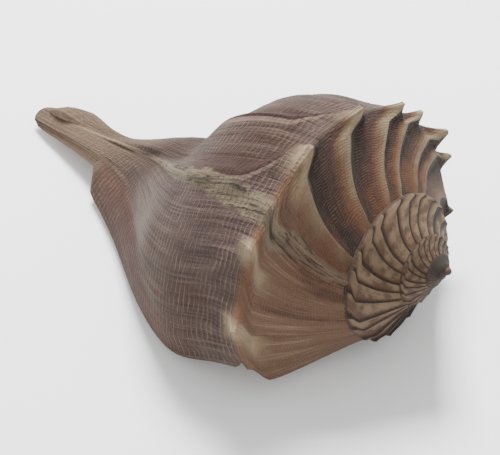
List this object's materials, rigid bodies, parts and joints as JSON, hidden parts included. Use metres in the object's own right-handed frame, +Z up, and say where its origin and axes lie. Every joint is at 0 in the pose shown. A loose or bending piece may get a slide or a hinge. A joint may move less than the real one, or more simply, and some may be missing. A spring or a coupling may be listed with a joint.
{
  "type": "whelk shell",
  "caption": "Left-handed spiral sea shell with a knobbed shoulder, a low spire, a wide aperture and a long open canal.",
  "frame": {"origin": "centre of the bounding box in X and Y, at the height of the surface the shell rests on", "axes": "+Z up with the aperture down, +X along the shell towards the apex, so the canal points along -X"},
  "size_m": [0.1942, 0.1188, 0.0936],
  "materials": {
    "shell": "natural matt shell, glossy inside the aperture"
  },
  "bodies": {
    "root": {"shell": "shell"}
  },
  "joints": []
}
